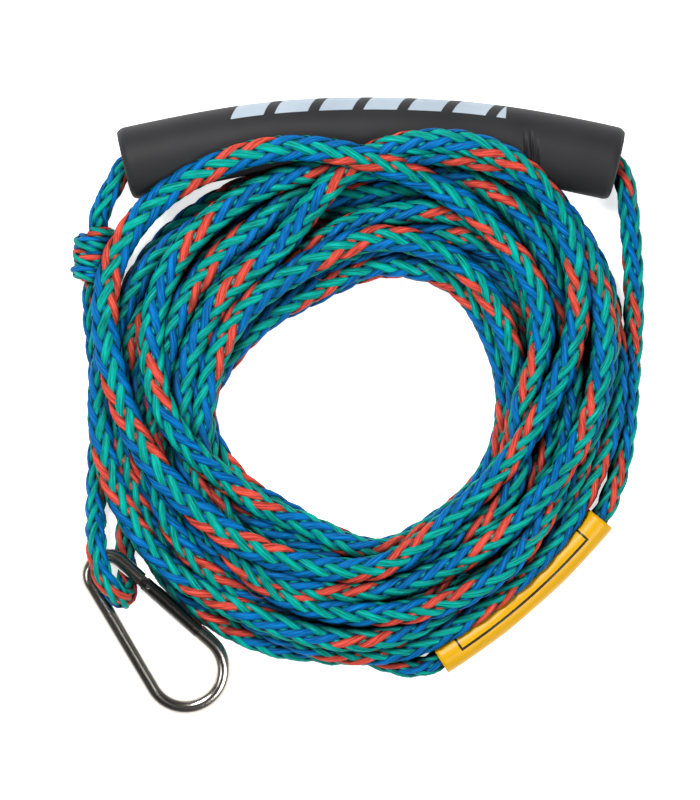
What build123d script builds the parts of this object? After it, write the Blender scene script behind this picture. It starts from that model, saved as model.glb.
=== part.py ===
"""Tow rope handle: a bowed foam grip on a hollow-braid rope, wound into a coil, with a snap hook.

Millimetres, +Z up. The origin is under the middle of the grip, on the surface that everything lies on.
+X runs along the grip and the coil lies on its -Y side.
"""

from build123d import *

import math
import os

os.makedirs("parts", exist_ok=True)

# Driving dimensions: the grip
grip_length = 265.0  # along its bowed axis
grip_radius = 18.5
bow_radius = 580.0  # of the grip's axis, about a point on the coil's side
end_rounding = 5.0
core_radius, core_bore = 10.0, 8.0
bush_length, bush_radius = 12.0, 14.0
bush_throat, bush_mouth = 8.0, 12.6
bush_recess = 0.4  # of the bush's rim below the foam's end
bush_rim_width, bush_rim_depth = 0.8, 1.2
bush_flare_depth = 8.5
bush_end_gap = 0.2  # between the bush and the core tube, and between the bush and the foam's step
fit_gap = 0.1  # between the foam and what is pressed into it

# Driving dimensions: the rope and what is on it
rope_radius = 5.75
leg_radius = 6.2  # the left leg holds the rope's tucked tail, so it is thicker
lying = 6.0  # height of the axis of a rope that lies on the surface
coil_height = 48.0
coil_rounding = 10.0
sleeve_radius_x, sleeve_radius_z = 8.3, 8.0
sleeve_wall = 1.2
sleeve_bow_radius = 345.0
rope_in_sleeve_height = 7.0
rope_end_inset = 17.0  # from the grip's ends to where its inner rope meets the legs
knot_radius, knot_waist = 12.5, 10.8
knot_wrap = 10.6  # one wrap's width along the knot
knot_wraps = 3
clearance = 1.2  # kept between the coil and what lies in it
grip_room_turn = 1.0  # degrees by which the grip's room in the coil runs past its ends
hook_headroom = 3.0  # between the hook's top and the strands over it
past = 1.0  # how far a cut runs past what it cuts

# Driving dimensions: the snap hook, in its own plane, +X from its narrow end to its wide end
rod_radius = 4.0
narrow_radius, wide_radius = 10.0, 20.0  # of the rod's axis
bend_distance = 66.5
narrow_end_height, wide_end_height = 16.8, 4.1  # heights of the rod's axis
stub_length = 15.0  # from the narrow bend to the shoulder at the hinge
pivot_at = 20.0  # from the narrow bend to the hinge, along the gate
nose_at = 56.5  # from the narrow bend to the nose's end
gate_gap = 0.3  # between the gate's end and the nose
tongue_thickness, slot_width = 3.0, 3.6
tongue_root = 1.0  # how deep a tongue is rooted in the rod
hinge_tongue_reach, hinge_tongue_width = 3.6, 6.0
hinge_slot_gap = 0.4
pivot_radius, pivot_play = 1.25, 0.05
pivot_proud, pivot_chamfer = 0.2, 0.3
latch_radius, latch_inset = 0.8, 0.3
latch_at = 53.7  # from the narrow bend to the latch pin
latch_tongue_reach, latch_tongue_width = 2.0, 5.0
latch_notch_width, latch_notch_reach = 2.2, 0.9
latch_slot_depth = 5.9
plunger_radius, plunger_head, plunger_peg = 2.0, 3.5, 3.0
plunger_gap = 0.1  # between the plunger and the hinge tongue
bore_play = 0.1
spring_wire, spring_radius, spring_length = 0.5, 1.4, 12.0
spring_turns = 7

# The grip, revolved about the centre of its bow
half_bow = math.degrees(grip_length / 2 / bow_radius)
inner_edge = (bow_radius - grip_radius) * math.cos(math.radians(half_bow))
bow_centre = Vector(0, -(inner_edge + bow_radius + grip_radius) / 2, grip_radius)
core_half_bow = half_bow - math.degrees((bush_length + bush_end_gap) / bow_radius)


def bow_plane(angle):
    """The grip's section plane at an angle from its middle, +X to the left: x outwards, y up."""
    turn = math.radians(angle)
    outwards = Vector(-math.sin(turn), math.cos(turn), 0)
    return Plane(bow_centre + outwards * bow_radius, x_dir=outwards, z_dir=Vector(0, 0, 1).cross(outwards))


def end_plane(side):
    """The plane of one end of the grip: z out of the grip, x towards the bow's outside."""
    turn = math.radians(side * half_bow)
    outwards = Vector(-math.sin(turn), math.cos(turn), 0)
    out_of_grip = Vector(-math.cos(turn) * side, -math.sin(turn) * side, 0)
    return Plane(bow_centre + outwards * bow_radius, x_dir=outwards, z_dir=out_of_grip)


bow_axis = Axis(bow_centre, (0, 0, 1))

with BuildPart() as grip_foam:
    with BuildSketch(bow_plane(-half_bow)):
        Circle(grip_radius)
        Circle(core_radius + fit_gap, mode=Mode.SUBTRACT)
    revolve(axis=bow_axis, revolution_arc=2 * half_bow)
    arcs = grip_foam.edges().filter_by(GeomType.CIRCLE)
    fillet([arc for arc in arcs if abs(arc.radius - grip_radius) < fit_gap], end_rounding)
    for side in (-1, 1):
        with BuildSketch(end_plane(side)):
            Circle(bush_radius + fit_gap)
        extrude(amount=-bush_length, mode=Mode.SUBTRACT)
grip_foam.part.label = "grip_foam"
export_step(grip_foam.part, "parts/grip_foam.step")

with BuildPart() as grip_core_tube:
    with BuildSketch(bow_plane(-core_half_bow)):
        Circle(core_radius)
        Circle(core_bore, mode=Mode.SUBTRACT)
    revolve(axis=bow_axis, revolution_arc=2 * core_half_bow)
grip_core_tube.part.label = "grip_core_tube"
export_step(grip_core_tube.part, "parts/grip_core_tube.step")


# The bushes that line the mouths, flared so that the rope can turn in them
for side, name in ((1, "grip_bush_left"), (-1, "grip_bush_right")):
    mouth = end_plane(side)
    with BuildPart() as grip_bush:
        with BuildSketch(Plane(mouth.origin, x_dir=mouth.x_dir, z_dir=mouth.y_dir)):
            # In this sketch x is the radius and y runs into the grip
            Polygon(
                (bush_throat, bush_length - bush_end_gap),
                (bush_radius, bush_length - bush_end_gap),
                (bush_radius, bush_recess),
                (bush_mouth, bush_recess),
                (bush_mouth - bush_rim_width, bush_recess + bush_rim_depth),
                (bush_throat, bush_flare_depth),
                align=None,
            )
        revolve(axis=Axis(mouth.origin, mouth.z_dir))
    grip_bush.part.label = name
    export_step(grip_bush.part, f"parts/{name}.step")


def tube(points, radius):
    """A round tube along straight runs joined by arcs, each as large as its two runs allow."""
    points = [Vector(*p) for p in points]
    radii = []
    for before, corner, after in zip(points, points[1:], points[2:]):
        first, second = corner - before, after - corner
        half_turn = math.radians(first.get_angle(second) / 2)
        radii.append(0.45 * min(first.length, second.length) / math.tan(half_turn))
    with BuildPart(mode=Mode.PRIVATE) as swept:
        with BuildLine() as path:
            FilletPolyline(*points, radius=radii)
        with BuildSketch(Plane(points[0], z_dir=points[1] - points[0])):
            Circle(radius)
        sweep(path=path.wire(), transition=Transition.ROUND)
    share = swept.part.volume / (math.pi * radius**2 * path.wire().length)
    print("radii", [round(r, 1) for r in radii], "length", round(path.wire().length), "share", round(share, 4))
    return swept.part


def mouth_point(side, out, inwards):
    """A point in the grip's plane: out of the end and towards the bow's inside, from the end's centre."""
    mouth = end_plane(side)
    return tuple(mouth.origin + mouth.z_dir * out - mouth.x_dir * inwards)


# The rope, from the left mouth round to the right one
rope_end_angle = half_bow - math.degrees(rope_end_inset / bow_radius)
with BuildPart() as rope_in_grip:
    with BuildSketch(bow_plane(-rope_end_angle)):
        Circle(rope_radius)
    revolve(axis=bow_axis, revolution_arc=2 * rope_end_angle)
rope_in_grip.part.label = "rope_in_grip"
export_step(rope_in_grip.part, "parts/rope_in_grip.step")

knot_top, knot_bottom = Vector(-144.9, -42.7, 12.8), Vector(-147.6, -74.4, 12.8)
knot_line = knot_bottom - knot_top

left_leg_route = [
    tuple(bow_plane(rope_end_angle).origin),
    mouth_point(1, -8.0, 0.1),
    mouth_point(1, 1.5, 3.6),
    mouth_point(1, 6.4, 10.6),
    (-141.2, -29.0, 16.4),
    (-144.1, -36.4, 14.2),
    tuple(knot_top),
]
with BuildPart() as rope_left_leg:
    add(tube(left_leg_route, leg_radius))
rope_left_leg.part.label = "rope_left_leg"
export_step(rope_left_leg.part, "parts/rope_left_leg.step")

# The knot: rounded wraps side by side round the rope
with BuildPart() as barrel_knot:
    with BuildSketch(Plane(knot_top, x_dir=Vector(0, 0, 1), z_dir=knot_line.cross(Vector(0, 0, 1)))):
        with BuildLine():
            tops = [(knot_waist, -knot_wrap * i) for i in range(knot_wraps + 1)]
            for (x, y), (_, y_next) in zip(tops, tops[1:]):
                ThreePointArc((x, y), (knot_radius, (y + y_next) / 2), (x, y_next))
            Polyline(tops[-1], (0, tops[-1][1]), (0, 0), tops[0])
        make_face()
    revolve(axis=Axis(knot_top, knot_line))
barrel_knot.part.label = "barrel_knot"
export_step(barrel_knot.part, "parts/barrel_knot.step")

# Down the left side, over the hook's narrow end, round inside it, back under it and into the coil
left_side_route = [
    tuple(knot_bottom),
    (-148.1, -82.0, 11.6),
    (-147.9, -92.0, 8.6),
    (-146.2, -108.0, 6.3),
    (-144.4, -128.5, lying),
    (-144.6, -148.0, 6.1),
    (-145.6, -168.0, lying),
    (-146.4, -187.0, 7.0),
    (-146.2, -199.0, 13.4),
    (-145.6, -209.0, 25.0),
    (-144.4, -219.5, 29.4),
    (-141.4, -229.0, 29.4),
    (-135.8, -236.6, 27.0),
    (-131.6, -241.2, 18.6),
    (-129.8, -238.4, 9.6),
    (-129.6, -230.4, lying - 0.1),
    (-130.6, -220.0, lying - 0.1),
    (-131.6, -207.0, 6.1),
    (-127.0, -194.0, 6.4),
    (-118.0, -183.0, 6.2),
]
with BuildPart() as rope_left_side:
    add(tube(left_side_route, rope_radius))
rope_left_side.part.label = "rope_left_side"
export_step(rope_left_side.part, "parts/rope_left_side.step")

# The sleeve and the rope in it bend round one vertical axis
sleeve_top, sleeve_foot = Vector(122.2, -198.0, 0), Vector(36.9, -273.1, 0)
sleeve_chord = sleeve_foot - sleeve_top
sleeve_rise = math.sqrt(sleeve_bow_radius**2 - (sleeve_chord.length / 2) ** 2)
inside = sleeve_chord.normalized().cross(Vector(0, 0, 1))  # towards the coil
sleeve_centre = (sleeve_top + sleeve_foot) / 2 + inside * sleeve_rise
sleeve_axis = Axis(sleeve_centre, (0, 0, 1))
sleeve_arc = 2 * math.degrees(math.asin(sleeve_chord.length / 2 / sleeve_bow_radius))


def sleeve_plane(end, height):
    """The section plane at an end of the sleeve: x away from its axis, y up."""
    away = (end - sleeve_centre).normalized()
    return Plane(end + Vector(0, 0, height), x_dir=away, z_dir=away.cross(Vector(0, 0, 1)))


with BuildPart() as warning_sleeve:
    with BuildSketch(sleeve_plane(sleeve_top, sleeve_radius_z)):
        Ellipse(sleeve_radius_x, sleeve_radius_z)
        Ellipse(sleeve_radius_x - sleeve_wall, sleeve_radius_z - sleeve_wall, mode=Mode.SUBTRACT)
    revolve(axis=sleeve_axis, revolution_arc=-sleeve_arc)
warning_sleeve.part.label = "warning_sleeve"
export_step(warning_sleeve.part, "parts/warning_sleeve.step")

with BuildPart() as rope_in_sleeve:
    with BuildSketch(sleeve_plane(sleeve_top, rope_in_sleeve_height)):
        Circle(rope_radius)
    revolve(axis=sleeve_axis, revolution_arc=-sleeve_arc)
rope_in_sleeve.part.label = "rope_in_sleeve"
export_step(rope_in_sleeve.part, "parts/rope_in_sleeve.step")

# Down the right side, from the grip to the sleeve
right_leg_route = [
    tuple(bow_plane(-rope_end_angle).origin),
    mouth_point(-1, -8.0, 0.1),
    mouth_point(-1, 1.5, 3.6),
    mouth_point(-1, 6.2, 11.0),
    (136.6, -31.5, 17.4),
    (138.0, -46.0, 14.0),
    (139.4, -62.0, 9.0),
    (140.2, -80.0, 6.4),
    (139.8, -99.0, lying),
    (138.4, -118.0, 6.2),
    (137.2, -138.0, lying),
    (135.6, -156.0, 6.2),
    (132.2, -173.0, 6.4),
    (127.6, -187.0, 6.8),
    tuple(sleeve_top + Vector(0, 0, rope_in_sleeve_height)),
]
with BuildPart() as rope_right_leg:
    add(tube(right_leg_route, rope_radius))
rope_right_leg.part.label = "rope_right_leg"
export_step(rope_right_leg.part, "parts/rope_right_leg.step")

# Out of the sleeve's foot and into the coil
lead_in_route = [
    tuple(sleeve_foot + Vector(0, 0, rope_in_sleeve_height)),
    (27.0, -277.8, 6.8),
    (12.0, -276.4, 6.6),
    (-2.0, -270.0, 6.6),
]
with BuildPart() as rope_lead_in:
    add(tube(lead_in_route, rope_radius))
rope_lead_in.part.label = "rope_lead_in"
export_step(rope_lead_in.part, "parts/rope_lead_in.step")

# The snap hook lies tilted, its narrow end propped up on the rope that goes under it
hook_heading = Vector(0.629, -0.777, 0).normalized()
tip_reach = bend_distance + wide_radius
hook_tilt = math.asin((narrow_end_height - wide_end_height) / tip_reach)
hook_x = hook_heading * math.cos(hook_tilt) - Vector(0, 0, math.sin(hook_tilt))
hook_z = hook_heading * math.sin(hook_tilt) + Vector(0, 0, math.cos(hook_tilt))
hook_plane = Plane((-139.9, -227.6, narrow_end_height), x_dir=hook_x, z_dir=hook_z)

side_slope = math.asin((wide_radius - narrow_radius) / bend_distance)
side_length = math.sqrt(bend_distance**2 - (wide_radius - narrow_radius) ** 2)


def on_hook(x, y):
    """The place in space of a point of the hook's plane."""
    return hook_plane.from_local_coords(Vector(x, y, 0))


def on_side(distance, side):
    """A point on a straight side, at a distance from the narrow bend: side 1 is the gate's, -1 the spine's."""
    x = distance * math.cos(side_slope) - narrow_radius * math.sin(side_slope)
    y = distance * math.sin(side_slope) + narrow_radius * math.cos(side_slope)
    return on_hook(x, side * y)


def on_gate(distance):
    """A point on the gate's line, at a distance from the narrow bend."""
    return on_side(distance, 1)


def gate_frame(distance):
    """A plane at a point of the gate's line: x along the gate, z out of the hook's plane."""
    ahead = (on_gate(1) - on_gate(0)).normalized()
    return Plane(on_gate(distance), x_dir=ahead, z_dir=hook_z)


def across_gate(distance):
    """A plane square to the gate's line, z along it and y out of the hook's plane."""
    frame = gate_frame(distance)
    return Plane(frame.origin, x_dir=frame.y_dir, z_dir=frame.x_dir)


with BuildPart() as hook_frame:
    with BuildLine() as hook_path:
        Line(on_gate(stub_length), on_gate(0))
        ThreePointArc(on_gate(0), on_hook(-narrow_radius, 0), on_side(0, -1))
        Line(on_side(0, -1), on_side(side_length, -1))
        ThreePointArc(on_side(side_length, -1), on_hook(tip_reach, 0), on_gate(side_length))
        Line(on_gate(side_length), on_gate(nose_at))
    with BuildSketch(Plane(on_gate(stub_length), x_dir=hook_z, z_dir=on_gate(0) - on_gate(1))):
        Circle(rod_radius)
    sweep(path=hook_path.wire())
    # The hinge's tongue
    with BuildSketch(gate_frame(pivot_at)):
        tongue_back = pivot_at - stub_length + tongue_root
        with Locations(((hinge_tongue_reach - tongue_back) / 2, 0)):
            Rectangle(hinge_tongue_reach + tongue_back, hinge_tongue_width)
        Circle(pivot_radius, mode=Mode.SUBTRACT)
    extrude(amount=tongue_thickness / 2, both=True)
    # The nose's tongue, with a notch for the latch pin
    with BuildSketch(gate_frame(latch_at)):
        tongue_front = nose_at - latch_at + tongue_root
        with Locations(((tongue_front - latch_tongue_reach) / 2, 0)):
            Rectangle(tongue_front + latch_tongue_reach, latch_tongue_width)
        with Locations((0, latch_notch_reach - latch_tongue_width / 2)):
            Rectangle(latch_notch_width, latch_tongue_width, mode=Mode.SUBTRACT)
    extrude(amount=tongue_thickness / 2, both=True)
hook_frame.part.label = "hook_frame"
export_step(hook_frame.part, "parts/hook_frame.step")

with BuildPart() as gate_hinge_pin:
    with BuildSketch(gate_frame(pivot_at)):
        Circle(pivot_radius)
    extrude(amount=rod_radius + pivot_proud, both=True)
    chamfer(gate_hinge_pin.edges().filter_by(GeomType.CIRCLE), pivot_chamfer)
gate_hinge_pin.part.label = "gate_hinge_pin"
export_step(gate_hinge_pin.part, "parts/gate_hinge_pin.step")

gate_length = nose_at - gate_gap - pivot_at
plunger_at = pivot_at + hinge_tongue_reach + plunger_gap
spring_at = plunger_at + plunger_head + spring_wire
with BuildPart() as hook_gate:
    with BuildSketch(across_gate(pivot_at - rod_radius)):
        Circle(rod_radius)
    extrude(amount=gate_length + rod_radius)
    # The hinge end is rounded about the pivot
    with BuildSketch(gate_frame(pivot_at).offset(-2 * rod_radius)):
        Circle(rod_radius)
        with Locations((gate_length / 2, 0)):
            Rectangle(gate_length, 2 * rod_radius + past)
    extrude(amount=4 * rod_radius, mode=Mode.INTERSECT)
    # Slots for the two tongues, the pivot's hole, the latch pin's hole and the spring's bore
    slot_reach = math.hypot(hinge_tongue_reach, hinge_tongue_width / 2) + hinge_slot_gap
    with BuildSketch(gate_frame(pivot_at)):
        with Locations(((slot_reach - rod_radius - past) / 2, 0)):
            Rectangle(slot_reach + rod_radius + past, 2 * rod_radius + past)
        with Locations((gate_length - (latch_slot_depth - past) / 2, 0)):
            Rectangle(latch_slot_depth + past, 2 * rod_radius + past)
    extrude(amount=slot_width / 2, both=True, mode=Mode.SUBTRACT)
    with BuildSketch(gate_frame(pivot_at)):
        Circle(pivot_radius + pivot_play)
        with Locations((latch_at - pivot_at, 0)):
            Circle(latch_radius)
    extrude(amount=2 * rod_radius, both=True, mode=Mode.SUBTRACT)
    with BuildSketch(across_gate(plunger_at)):
        Circle(plunger_radius + bore_play)
    extrude(amount=spring_at + spring_length + spring_wire - plunger_at, mode=Mode.SUBTRACT)
hook_gate.part.label = "hook_gate"
export_step(hook_gate.part, "parts/hook_gate.step")

with BuildPart() as gate_latch_pin:
    with BuildSketch(gate_frame(latch_at)):
        Circle(latch_radius)
    extrude(amount=rod_radius - latch_inset, both=True)
gate_latch_pin.part.label = "gate_latch_pin"
export_step(gate_latch_pin.part, "parts/gate_latch_pin.step")

with BuildPart() as gate_plunger:
    with BuildSketch(across_gate(plunger_at)):
        Circle(plunger_radius)
    extrude(amount=plunger_head)
    # The peg that the spring sits on
    with BuildSketch(across_gate(plunger_at + plunger_head)):
        Circle(spring_radius - spring_wire)
    extrude(amount=plunger_peg)
gate_plunger.part.label = "gate_plunger"
export_step(gate_plunger.part, "parts/gate_plunger.step")

spring_start = across_gate(spring_at)
with BuildPart() as gate_spring:
    with BuildLine() as spring_path:
        Helix(
            pitch=spring_length / spring_turns,
            height=spring_length,
            radius=spring_radius,
            center=tuple(spring_start.origin),
            direction=tuple(spring_start.z_dir),
        )
    with BuildSketch(Plane(spring_path.wire() @ 0, z_dir=spring_path.wire() % 0)):
        Circle(spring_wire / 2)
    sweep(path=spring_path.wire())
gate_spring.part.label = "gate_spring"
export_step(gate_spring.part, "parts/gate_spring.step")

# The coil: one closed ring of the wound rope's outer shape, hollowed where other pieces lie in it
coil_outline = [
    (36.6, 12.5), (89.6, -13.0), (122.0, -55.4), (126.0, -113.7), (119.0, -170.0), (84.3, -240.9),
    (31.3, -273.7), (-32.3, -279.0), (-82.7, -255.7), (-112.0, -218.0), (-126.0, -177.3),
    (-134.0, -119.0), (-133.0, -66.0), (-115.0, -19.3), (-69.4, -1.3), (-16.4, 1.9),
]  # fmt: skip
hole_outline = [
    (-83.7, -134.9), (-66.8, -97.8), (-32.3, -71.3), (7.4, -64.9), (52.5, -79.2), (84.3, -108.4),
    (93.8, -142.8), (79.0, -176.2), (44.5, -203.8), (2.1, -211.7), (-42.9, -194.2), (-72.1, -167.7),
]  # fmt: skip
hook_swing = 30.0  # degrees, away from the coil
swing_centre = Vector(-134.5, -238.6, 0)

with BuildPart() as rope_coil:
    with BuildSketch():
        with BuildLine():
            Spline(*coil_outline, periodic=True)
        make_face()
        with BuildLine():
            Spline(*hole_outline, periodic=True)
        make_face(mode=Mode.SUBTRACT)
    extrude(amount=coil_height)
    fillet(rope_coil.faces().sort_by(Axis.Z)[-1].edges(), coil_rounding)
    # Room for the grip
    with BuildSketch(bow_plane(-half_bow - grip_room_turn)):
        Circle(grip_radius + clearance)
        with Locations((0, -(grip_radius + past) / 2)):
            Rectangle(2 * (grip_radius + clearance), grip_radius + past)
    revolve(axis=bow_axis, revolution_arc=2 * (half_bow + grip_room_turn), mode=Mode.SUBTRACT)
    # Room for the sleeve
    with BuildSketch(sleeve_plane(sleeve_top, sleeve_radius_z)):
        Ellipse(sleeve_radius_x + clearance, sleeve_radius_z + clearance)
        with Locations((0, -(sleeve_radius_z + past) / 2)):
            Rectangle(2 * (sleeve_radius_x + clearance), sleeve_radius_z + past)
    revolve(axis=sleeve_axis, revolution_arc=-sleeve_arc, mode=Mode.SUBTRACT)
    # Room for the hook as it swings
    for step in range(4):
        with BuildSketch(Plane.XY.offset(-past)):
            turn = -hook_swing * step / 3
            with Locations(*[
                tuple(Vector(*(spot - swing_centre)).rotate(Axis.Z, turn) + swing_centre)[:2]
                for spot in (on_hook(0, 0), on_hook(bend_distance, 0))
            ]):
                Circle(narrow_radius + rod_radius + clearance)
            make_hull()
        extrude(amount=past + narrow_end_height + rod_radius + hook_headroom, mode=Mode.SUBTRACT)
rope_coil.part.label = "rope_coil"
export_step(rope_coil.part, "parts/rope_coil.step")

print("coil volume", round(rope_coil.part.volume), "hook tilt", round(math.degrees(hook_tilt), 2))
print("bow centre", bow_centre, "pivot", on_gate(pivot_at), "hinge axis", hook_z)
print("gate direction", (on_gate(1) - on_gate(0)).normalized())
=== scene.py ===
"""The tow rope handle's looks: a hollow-braid rope in a loose coil, a foam grip, a sleeve and a steel hook.

Everything is in metres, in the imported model's frame, unless a name or a comment says millimetres.
"""

import math

import bpy
import numpy as np
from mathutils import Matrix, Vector


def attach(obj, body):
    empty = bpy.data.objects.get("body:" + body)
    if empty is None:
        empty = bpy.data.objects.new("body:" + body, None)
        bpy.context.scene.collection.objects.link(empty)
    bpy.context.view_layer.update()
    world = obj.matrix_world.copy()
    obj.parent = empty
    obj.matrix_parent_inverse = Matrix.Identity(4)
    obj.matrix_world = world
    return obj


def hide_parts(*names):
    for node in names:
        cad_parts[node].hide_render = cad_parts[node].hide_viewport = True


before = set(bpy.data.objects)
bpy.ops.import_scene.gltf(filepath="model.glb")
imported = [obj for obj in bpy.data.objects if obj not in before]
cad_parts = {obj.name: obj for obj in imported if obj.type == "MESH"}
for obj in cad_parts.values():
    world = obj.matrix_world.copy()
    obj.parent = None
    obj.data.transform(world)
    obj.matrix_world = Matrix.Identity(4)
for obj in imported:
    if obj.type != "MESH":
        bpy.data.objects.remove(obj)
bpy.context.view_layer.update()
MM = 0.001

# The rope
DIAMETER = 0.0115
PITCH = 0.085  # of one strand round the rope
STRANDS = 6  # each way round
ORANGE_STRANDS = 2  # of those that go one way, where the rest are blue
CROSSINGS = 2 * STRANDS  # that a strand makes in one pitch
BRAID_RADIUS = 4.35 * MM  # of the strands' middle surface
UNDULATION = 0.7 * MM
SQUARENESS = 1.3  # of the wave that a strand goes over and under the others in
STRAND_HALF_WIDTH, STRAND_HALF_THICKNESS = 1.88 * MM, 1.05 * MM
PROFILE = (-1.0, -0.62, 0.0, 0.62, 1.0)  # across a strand
SLACK_SIZE = 0.95  # of the section where nothing presses the rope
WIDENING, FLATTENING = 0.32, 0.15  # of the section where it is pressed in the coil
ROUND_STRETCH = 0.06  # over which a round stretch turns into a flat one
FLATTEST = math.radians(130)  # where the coil is pressed most, counterclockwise from +X
PINCHED_TURN, PINCHED_ANGLE = 2, 146  # where the top turn is pressed more still: which turn, and degrees
PINCH, PINCH_REACH = 0.75, 0.09  # how much more, and how far along the rope
SHADE_SHEET_DEPTH = 1.1 * MM  # depth of the dark sheet, painted shade for the rope's hollow inside, below the strands' middle surface
SHADE_SHEET_SIDES = 10
MAP_STEP, MAP_SHIFT = 4, 37.0  # millimetres to a unit of a strand's map, and its shift from strand to strand
BURIED_COARSENESS = 1.6  # of the mesh of the turns that are hidden

# The grip
GRIP_LENGTH, GRIP_RADIUS, BOW_RADIUS = 0.265, 0.0185, 0.580
BOW_CENTRE = np.array([0.0, -0.572706, GRIP_RADIUS])
HALF_BOW = GRIP_LENGTH / 2 / BOW_RADIUS
MOUTH_RADIUS, MOUTH_DEPTH = 14.1 * MM, 11.8 * MM
WAVINESS = 0.22 * MM  # of the foam's surface
ROUNDING, ROUNDING_ALONG = 3.2 * MM, 4.4 * MM  # of the grip's edges
CREASES = [(83.0, 1.88, 1.7), (86.0, 1.8, 2.1), (89.5, 2.0, 1.7)]  # mm along, angle round, mm deep
CREASE_HALF_WIDTH, CREASE_HALF_ANGLE, CREASE_LEAN = 0.8, 0.38, 4.0  # mm, radians, mm to a radian
DROOP, THICKENING = 1.3, 2.1  # millimetres, at the grip's ends
DROOP_START, DROOP_LENGTH = 40, 80  # millimetres from the grip's middle, and from there on
PRINT_SEAM = 1.6  # the angle round the grip where its map starts, on the side that nothing is printed on

# The sleeve
SLEEVE_TOP, SLEEVE_FOOT = np.array([0.1222, -0.198]), np.array([0.0369, -0.2731])
SLEEVE_BOW_RADIUS = 0.345
SLEEVE_HALF_WIDTH, SLEEVE_HALF_HEIGHT, SLEEVE_WALL = 8.3 * MM, 8.0 * MM, 1.2 * MM
SLEEVE_LENGTH = 114.0  # millimetres, for its map
SLEEVE_SEAM = 5  # the angle round it where its map starts again, away from the print


# ---------------------------------------------------------------- materials


def node(tree, kind, inputs=(), **settings):
    """A new node; inputs gives each socket a value, or another node's output."""
    made = tree.nodes.new(kind)
    for key, value in settings.items():
        setattr(made, key, value)
    for key, value in dict(inputs).items():
        if isinstance(value, bpy.types.NodeSocket):
            tree.links.new(value, made.inputs[key])
        else:
            made.inputs[key].default_value = value
    return made


def maths(tree, operation, first, second=0.0, clamp=False):
    """One step of arithmetic, as its output."""
    made = node(tree, "ShaderNodeMath", {0: first, 1: second}, operation=operation, use_clamp=clamp)
    return made.outputs[0]


def new_material(name, **values):
    """A material with one Principled shader, whose uniform values are set on it."""
    material = bpy.data.materials.new(name)
    material.use_nodes = True
    tree = material.node_tree
    shader = next(n for n in tree.nodes if n.type == "BSDF_PRINCIPLED")
    for key, value in values.items():
        shader.inputs[key.replace("_", " ")].default_value = value
    return material, tree, shader


def colour_mix(tree, share, first, second):
    """A colour between two, as its output."""
    mixed = node(tree, "ShaderNodeMix", data_type="RGBA")
    for socket, value in ((mixed.inputs[0], share), (mixed.inputs[6], first), (mixed.inputs[7], second)):
        if isinstance(value, bpy.types.NodeSocket):
            tree.links.new(value, socket)
        else:
            socket.default_value = value
    return mixed.outputs[2]


def noise(tree, vector, scale, detail=3.0, roughness=0.5):
    """A noise from 0 to 1, as its output."""
    inputs = {"Vector": vector, "Scale": scale, "Detail": detail, "Roughness": roughness}
    return node(tree, "ShaderNodeTexNoise", inputs).outputs["Fac"]


def bump(tree, height, strength, distance):
    """A normal bent by a height, as its output."""
    inputs = {"Height": height, "Strength": strength, "Distance": distance}
    return node(tree, "ShaderNodeBump", inputs).outputs["Normal"]


def along_map(tree):
    """The two outputs of a piece's own map."""
    uv = node(tree, "ShaderNodeUVMap", uv_map="along").outputs[0]
    return node(tree, "ShaderNodeSeparateXYZ", {0: uv}).outputs[:2]


def object_place(tree):
    """A place in the piece, as its output."""
    return node(tree, "ShaderNodeTexCoord").outputs["Object"]


def strand_material(name, colour):
    """Fine parallel filaments along a strand, with shade painted darker in the furrows at its edges."""
    material, tree, shader = new_material(name, Roughness=0.55, Specular_IOR_Level=0.07)
    across, along = along_map(tree)
    # Filaments run a little askew in the strand
    skewed = maths(tree, "ADD", across, maths(tree, "MULTIPLY", along, 0.06))
    fine, long = maths(tree, "MULTIPLY", skewed, 6.0), maths(tree, "MULTIPLY", along, 0.3)
    lines = node(tree, "ShaderNodeCombineXYZ", {0: fine, 1: long})
    filaments = noise(tree, lines.outputs[0], 1.0, 3.0, 0.7)
    patches = noise(tree, object_place(tree), 60.0, 2.0)
    dark, light, edge = (tuple(min(1.0, share * c) for c in colour) + (1.0,) for share in (0.25, 1.4, 0.22))
    shade = maths(tree, "ADD", maths(tree, "MULTIPLY", filaments, 3.0), maths(tree, "MULTIPLY", patches, 0.5))
    shade = maths(tree, "SUBTRACT", shade, 1.25, True)
    body = colour_mix(tree, shade, dark, light)
    # Painted shade: the strand's colour darkens towards its edges, where the furrows between strands are
    from_middle = maths(tree, "ABSOLUTE", maths(tree, "SUBTRACT", across, 0.5))
    painted_furrow_shade = maths(tree, "MULTIPLY", maths(tree, "SUBTRACT", from_middle, 0.3), 3.2, True)
    strand = colour_mix(tree, painted_furrow_shade, body, edge)
    # Shade is painted into the colour where strands and turns press on each other: the less open sky a place
    # sees, the darker it is
    sky_seen_for_painted_shade = node(tree, "ShaderNodeAmbientOcclusion", {"Distance": 9 * MM}, samples=6).outputs["AO"]
    sky_seen_for_painted_shade = maths(tree, "POWER", sky_seen_for_painted_shade, 1.75)
    tree.links.new(colour_mix(tree, sky_seen_for_painted_shade, (0, 0.004, 0.006, 1), strand), shader.inputs["Base Color"])
    tree.links.new(bump(tree, filaments, 0.7, 0.4 * MM), shader.inputs["Normal"])
    return material


def window(tree, value, low, high, edge):
    """1 between two values and 0 outside, with a soft edge."""
    rise = maths(tree, "DIVIDE", maths(tree, "SUBTRACT", value, low), edge, True)
    fall = maths(tree, "DIVIDE", maths(tree, "SUBTRACT", high, value), edge, True)
    return maths(tree, "MULTIPLY", rise, fall)


def oblong(tree, along, around):
    """1 in an oblong of a piece's map and 0 outside it; a side is a value, its limits and their edge."""
    return maths(tree, "MULTIPLY", window(tree, *along), window(tree, *around))


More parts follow.
